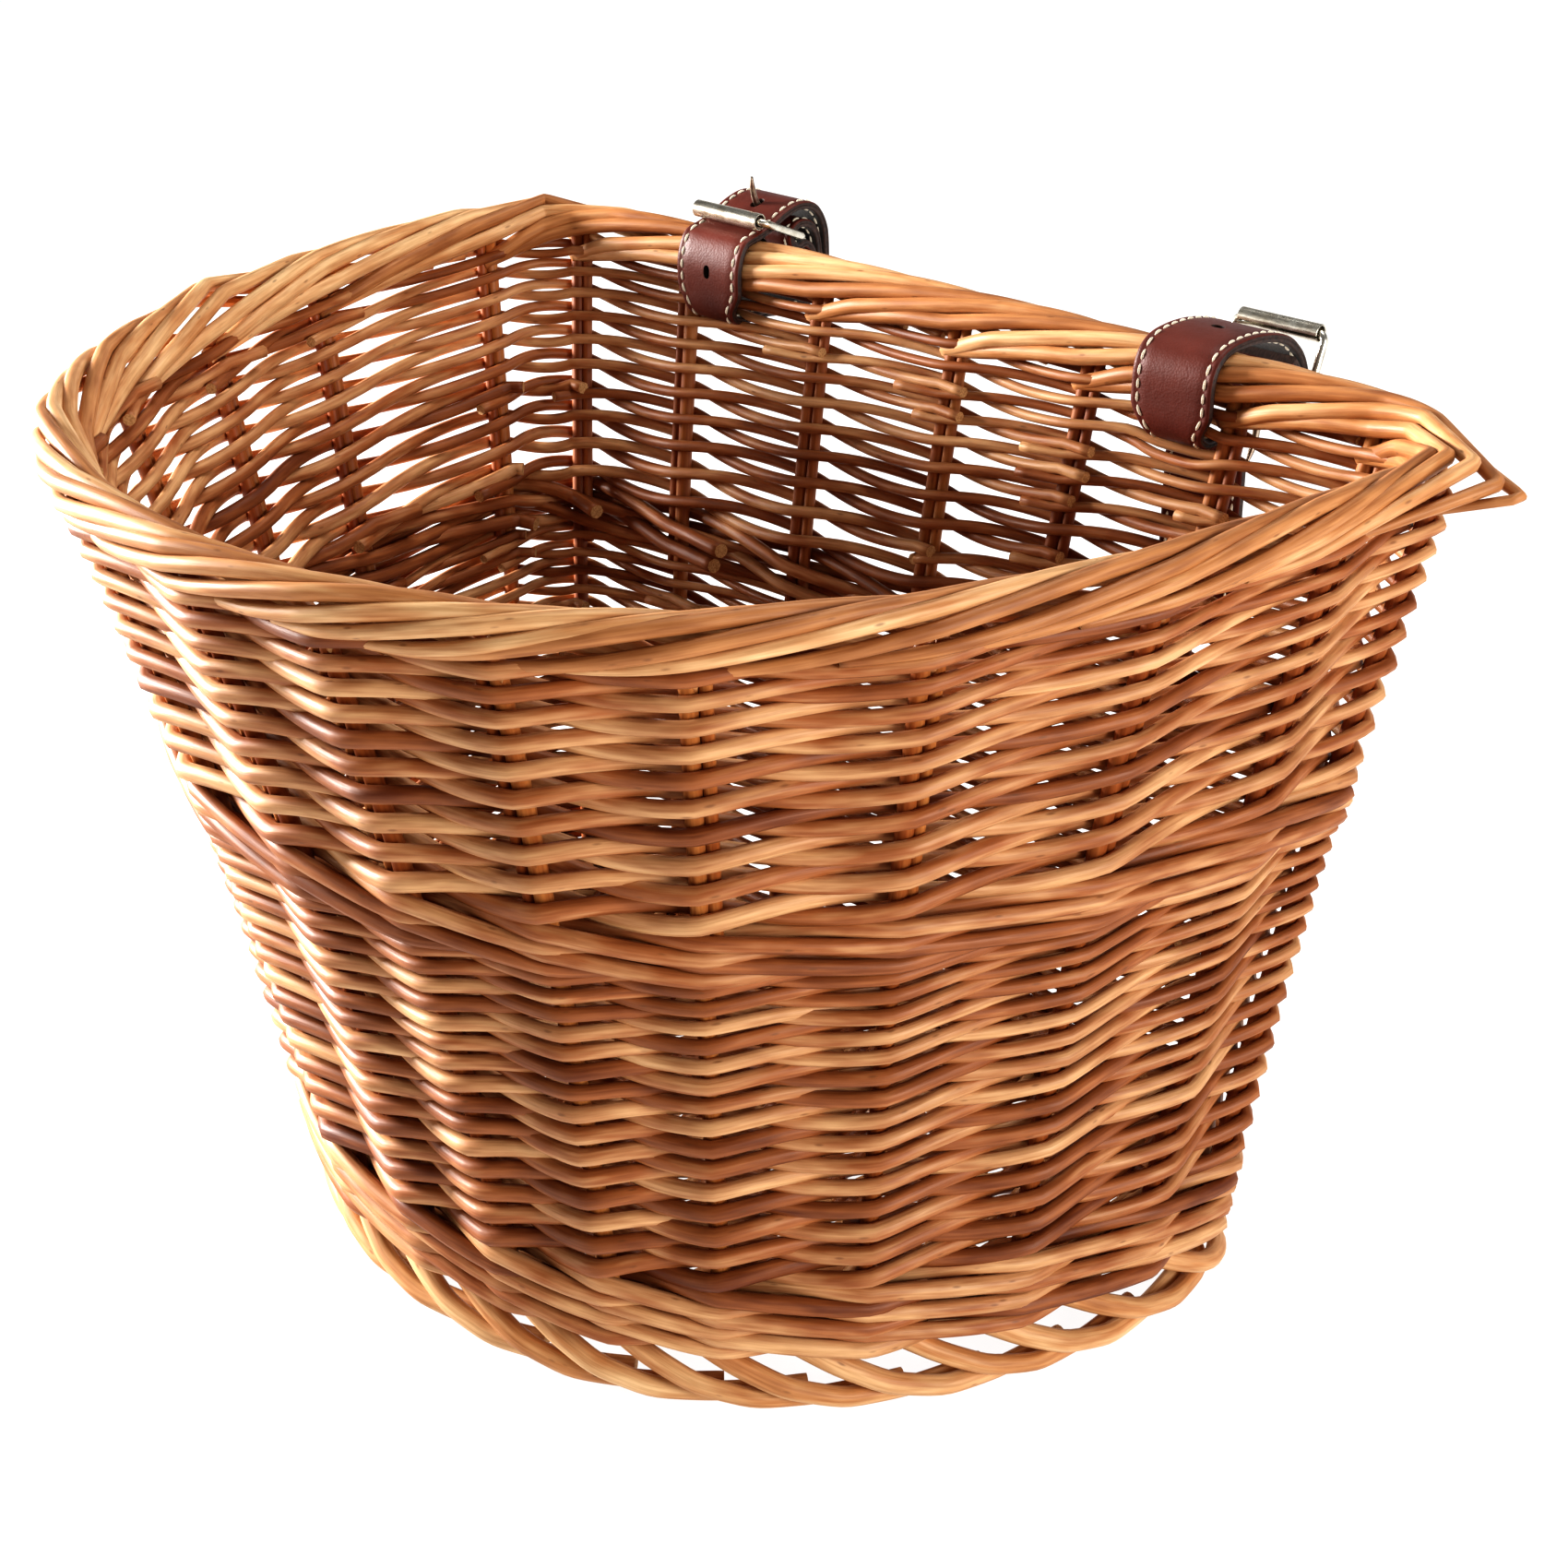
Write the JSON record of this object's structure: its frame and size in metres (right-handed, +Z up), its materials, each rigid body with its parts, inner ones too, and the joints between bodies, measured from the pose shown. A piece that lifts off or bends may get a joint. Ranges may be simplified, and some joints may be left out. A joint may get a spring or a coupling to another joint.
{
  "type": "handlebar basket",
  "caption": "D-shaped woven willow basket with a flat back, rounded front, braided rim and two buckled leather straps that hang it on a handlebar.",
  "frame": {"origin": "under the middle of the whole object's box, on the surface that the foot border stands on", "axes": "+Y is the flat back that faces the handlebar, -Y the rounded front, +X along the handlebar, +Z up"},
  "size_m": [0.362, 0.3212, 0.2656],
  "materials": {
    "willow_weave": "peeled buff willow, satin",
    "willow_border": "peeled buff willow, satin",
    "willow_stake": "darker buff willow, satin",
    "leather_strap": "smooth red-brown leather with a light thread along both edges",
    "buckle_metal": "nickel plate, slightly warm"
  },
  "bodies": {
    "basket": {"foot_border": "willow_border", "base_wale": "willow_weave", "lower_weave": "willow_weave", "middle_wale": "willow_weave", "upper_weave": "willow_weave", "top_border": "willow_border", "floor_weave": "willow_weave", "floor_stick_1": "willow_weave", "floor_stick_2": "willow_weave", "floor_stick_3": "willow_weave", "stake_01": "willow_stake", "stake_02": "willow_stake", "stake_03": "willow_stake", "stake_04": "willow_stake", "stake_05": "willow_stake", "stake_06": "willow_stake", "stake_07": "willow_stake", "stake_08": "willow_stake", "stake_09": "willow_stake", "stake_10": "willow_stake", "stake_11": "willow_stake", "stake_12": "willow_stake", "stake_13": "willow_stake", "stake_14": "willow_stake", "stake_15": "willow_stake", "stake_16": "willow_stake", "stake_17": "willow_stake", "stake_18": "willow_stake", "stake_19": "willow_stake", "stake_20": "willow_stake", "stake_21": "willow_stake", "left_strap": "leather_strap", "right_strap": "leather_strap"},
    "left_frame": {"left_buckle_frame": "buckle_metal"},
    "left_roller": {"left_buckle_roller": "buckle_metal"},
    "left_prong": {"left_buckle_prong": "buckle_metal"},
    "right_frame": {"right_buckle_frame": "buckle_metal"},
    "right_roller": {"right_buckle_roller": "buckle_metal"},
    "right_prong": {"right_buckle_prong": "buckle_metal"}
  },
  "joints": [
    {"name": "left_frame_swing", "type": "hinge", "parent": "basket", "child": "left_frame", "pos_m": [-0.09058, 0.13401, 0.249], "axis": [1, 0, 0], "range_deg": [-6, 0]},
    {"name": "left_roller_spin", "type": "hinge", "parent": "left_frame", "child": "left_roller", "pos_m": [-0.09058, 0.11541, 0.2568], "axis": [1, 0, 0], "continuous": true},
    {"name": "left_prong_swing", "type": "hinge", "parent": "basket", "child": "left_prong", "pos_m": [-0.09058, 0.13401, 0.249], "axis": [1, 0, 0], "range_deg": [-3, 6]},
    {"name": "right_frame_swing", "type": "hinge", "parent": "basket", "child": "right_frame", "pos_m": [0.08275, 0.15031, 0.229], "axis": [1, 0, 0], "range_deg": [-150, 15]},
    {"name": "right_roller_spin", "type": "hinge", "parent": "right_frame", "child": "right_roller", "pos_m": [0.08275, 0.15762, 0.2478], "axis": [1, 0, 0], "continuous": true},
    {"name": "right_prong_swing", "type": "hinge", "parent": "basket", "child": "right_prong", "pos_m": [0.08275, 0.15031, 0.229], "axis": [1, 0, 0], "range_deg": [-15, 30]}
  ]
}
